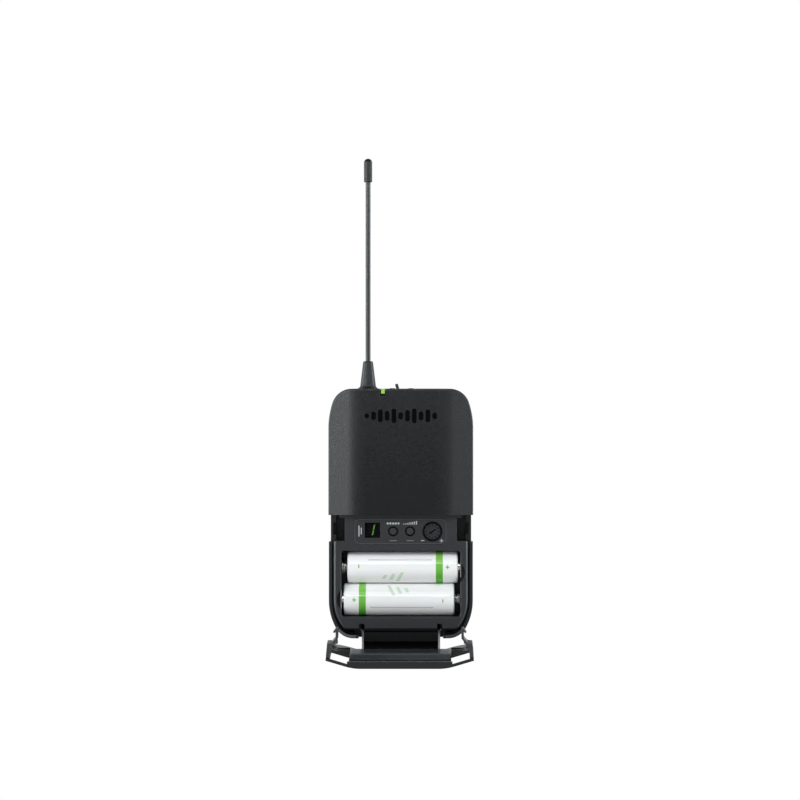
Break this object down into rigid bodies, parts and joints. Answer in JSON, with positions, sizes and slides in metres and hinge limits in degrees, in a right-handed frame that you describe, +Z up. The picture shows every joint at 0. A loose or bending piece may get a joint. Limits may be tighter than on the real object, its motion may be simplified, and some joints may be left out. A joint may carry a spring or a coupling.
{
  "type": "wireless bodypack transmitter",
  "caption": "Belt-worn radio transmitter pack with a whip aerial, microphone socket, control panel, hinged battery door standing open and round battery cells in its bay.",
  "frame": {"origin": "middle of the flat back face of the pack, at half the height of its body, where it lies on the wearer's belt", "axes": "+X to the right as seen from the front, +Z up along the aerial, +Y out of the back face towards the wearer"},
  "size_m": [0.0642, 0.0704, 0.2235],
  "materials": {
    "housing_plastic": "dark charcoal moulded plastic with a fine spark-eroded texture",
    "chassis_plastic": "dark charcoal moulded plastic, fine texture",
    "mark_gloss": "smooth black paint print",
    "panel_film": "satin dark polycarbonate film",
    "window_clear": "smoke-tinted clear window, polished",
    "display_body": "black display filter",
    "lit_green": "lit green figure strokes",
    "button_plastic": "satin black plastic",
    "dial_plastic": "satin black plastic",
    "board_green": "green solder mask",
    "shield_tin": "tin-plated sheet",
    "chip_black": "black moulded package",
    "switch_black": "black moulded switch body",
    "led_green": "green lamp",
    "pipe_clear": "clear light pipe lit green",
    "lever_plastic": "satin black plastic",
    "socket_nickel": "nickel plate, satin",
    "insert_black": "black insulating plastic",
    "pin_gold": "gold-plated pins",
    "nut_steel": "nickel-plated steel",
    "socket_brass": "turned brass",
    "boot_rubber": "black rubber, satin",
    "whip_coat": "black plastic-coated wire",
    "tip_plastic": "black moulded cap",
    "screw_black": "black oxide",
    "contact_nickel": "nickel-plated strip",
    "spring_nickel": "nickel-plated spring wire",
    "hinge_steel": "plain steel",
    "clip_steel": "black-coated spring steel wire",
    "cell_jacket_print": "white printed film with a green band and polarity marks",
    "cell_steel": "nickel-plated steel can",
    "cell_ring_white": "white insulating washer"
  },
  "bodies": {
    "housing": {"rear_housing": "housing_plastic", "chassis_frame": "chassis_plastic", "top_cover": "housing_plastic", "front_mark": "mark_gloss", "panel_overlay": "panel_film", "display_window": "window_clear", "display_module": "display_body", "digit_segments": "lit_green", "group_switch": "switch_black", "channel_switch": "switch_black", "gain_pot_body": "switch_black", "main_board": "board_green", "rf_shield": "shield_tin", "board_chips": "chip_black", "status_led": "led_green", "light_pipe": "pipe_clear", "power_switch_body": "switch_black", "jack_sleeve": "socket_nickel", "jack_insert": "insert_black", "jack_pins": "pin_gold", "jack_nut": "nut_steel", "aerial_socket": "socket_brass", "aerial_boot": "boot_rubber", "aerial_whip": "whip_coat", "aerial_tip": "tip_plastic", "housing_screws": "screw_black", "board_screws": "screw_black", "positive_plates": "contact_nickel", "negative_plates": "contact_nickel", "hinge_pins": "hinge_steel", "spring_upper": "spring_nickel", "spring_lower": "spring_nickel"},
    "door": {"battery_door": "housing_plastic"},
    "latch_left": {"latch_tab_left": "housing_plastic"},
    "latch_right": {"latch_tab_right": "housing_plastic"},
    "cell_upper": {"cell_upper_jacket": "cell_jacket_print", "cell_upper_can": "cell_steel", "cell_upper_ring": "cell_ring_white"},
    "cell_lower": {"cell_lower_jacket": "cell_jacket_print", "cell_lower_can": "cell_steel", "cell_lower_ring": "cell_ring_white"},
    "group_key": {"group_button": "button_plastic"},
    "channel_key": {"channel_button": "button_plastic"},
    "gain_knob": {"gain_dial": "dial_plastic"},
    "power_toggle": {"power_lever": "lever_plastic"},
    "wire_clip": {"belt_clip": "clip_steel"}
  },
  "joints": [
    {"name": "door_hinge", "type": "hinge", "parent": "housing", "child": "door", "pos_m": [0, -0.0106, -0.052], "axis": [-1, 0, 0], "range_deg": [0, 94.5]},
    {"name": "latch_left_press", "type": "slide", "parent": "door", "child": "latch_left", "axis": [1, 0, 0], "range_m": [0, 0.0008], "stiffness_N_per_m": 2500},
    {"name": "latch_right_press", "type": "slide", "parent": "door", "child": "latch_right", "axis": [-1, 0, 0], "range_m": [0, 0.0008], "stiffness_N_per_m": 2500},
    {"name": "cell_upper_removal", "type": "slide", "parent": "housing", "child": "cell_upper", "axis": [0, 1, 0], "range_m": [-0.018, 0]},
    {"name": "cell_lower_removal", "type": "slide", "parent": "housing", "child": "cell_lower", "axis": [0, 1, 0], "range_m": [-0.018, 0]},
    {"name": "group_press", "type": "slide", "parent": "housing", "child": "group_key", "axis": [0, 1, 0], "range_m": [0, 0.0003], "stiffness_N_per_m": 1500},
    {"name": "channel_press", "type": "slide", "parent": "housing", "child": "channel_key", "axis": [0, 1, 0], "range_m": [0, 0.0003], "stiffness_N_per_m": 1500},
    {"name": "gain_turn", "type": "hinge", "parent": "housing", "child": "gain_knob", "pos_m": [0.014, -0.016, -0.0083], "axis": [0, 1, 0], "range_deg": [-11, 259]},
    {"name": "power_flip", "type": "hinge", "parent": "housing", "child": "power_toggle", "pos_m": [0.0003, -0.0105, 0.0494], "axis": [0, 1, 0], "range_deg": [0, 34]},
    {"name": "clip_flex", "type": "hinge", "parent": "housing", "child": "wire_clip", "pos_m": [0, 0.0023, 0.031], "axis": [1, 0, 0], "range_deg": [0, 12], "stiffness_Nm_per_rad": 1.7}
  ]
}
